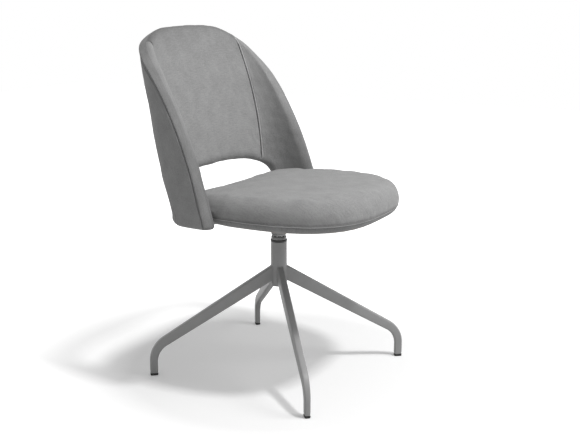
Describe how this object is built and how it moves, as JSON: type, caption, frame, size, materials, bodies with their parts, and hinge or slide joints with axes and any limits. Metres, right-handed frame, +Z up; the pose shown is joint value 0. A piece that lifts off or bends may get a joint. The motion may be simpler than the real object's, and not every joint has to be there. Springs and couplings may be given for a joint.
{
  "type": "swivel dining chair",
  "caption": "Upholstered swivel dining chair: a curved padded back with a window over a round cushion seat, on a ball-race column with bent steel legs and plastic glides.",
  "frame": {"origin": "on the floor, under the middle of the chair's box at rest; the swivel axis stands 1.4 mm behind it", "axes": "+Z up; the sitter faces -Y, so +X is the sitter's left"},
  "size_m": [0.5496, 0.5784, 0.859],
  "materials": {
    "grey_fabric": "short-pile woven upholstery fabric, matt grey",
    "lining_cloth": "thin black non-woven cloth",
    "painted_steel": "satin grey powder coat",
    "bright_steel": "bright plated steel",
    "zinc_steel": "zinc-plated steel",
    "black_plastic": "moulded black plastic, matt",
    "plywood": "moulded birch plywood, uncoated"
  },
  "bodies": {
    "base": {"leg_rear_left": "painted_steel", "leg_rear_right": "painted_steel", "leg_front_right": "painted_steel", "leg_front_left": "painted_steel", "glide_rear_left": "black_plastic", "glide_rear_right": "black_plastic", "glide_front_right": "black_plastic", "glide_front_left": "black_plastic", "column": "painted_steel", "column_cap": "black_plastic", "upper_bush": "black_plastic", "lower_bush": "black_plastic", "lower_race": "bright_steel"},
    "bearing": {"ball_cage": "bright_steel"},
    "seat": {"hub_tube": "painted_steel", "mounting_plate": "painted_steel", "wing_strap_left": "painted_steel", "wing_strap_right": "painted_steel", "upper_race": "bright_steel", "spindle": "bright_steel", "circlip": "zinc_steel", "retaining_washer": "zinc_steel", "plate_bolt_front_right": "zinc_steel", "plate_bolt_front_left": "zinc_steel", "plate_bolt_rear_right": "zinc_steel", "plate_bolt_rear_left": "zinc_steel", "plate_nut_front_right": "zinc_steel", "plate_nut_front_left": "zinc_steel", "plate_nut_rear_right": "zinc_steel", "plate_nut_rear_left": "zinc_steel", "wing_bolt_left_lower": "zinc_steel", "wing_bolt_left_upper": "zinc_steel", "wing_bolt_right_lower": "zinc_steel", "wing_bolt_right_upper": "zinc_steel", "wing_nut_left_lower": "zinc_steel", "wing_nut_left_upper": "zinc_steel", "wing_nut_right_lower": "zinc_steel", "wing_nut_right_upper": "zinc_steel", "strap_screw_left_inner": "zinc_steel", "strap_screw_left_outer": "zinc_steel", "strap_screw_right_inner": "zinc_steel", "strap_screw_right_outer": "zinc_steel", "seat_cushion": "grey_fabric", "seat_border": "grey_fabric", "back_pad": "grey_fabric", "back_cover": "grey_fabric", "dust_cover": "lining_cloth", "seat_pan": "plywood", "back_core": "plywood"}
  },
  "joints": [
    {"name": "seat_swivel", "type": "hinge", "parent": "base", "child": "seat", "pos_m": [0, 0.00141, 0.4], "axis": [0, 0, 1], "continuous": true},
    {"name": "cage_spin", "type": "hinge", "parent": "base", "child": "bearing", "pos_m": [0, 0.00141, 0.3477], "axis": [0, 0, 1], "continuous": true}
  ],
  "couplings": [
    {"joint": "cage_spin", "follows": "seat_swivel", "ratio": 0.5}
  ]
}
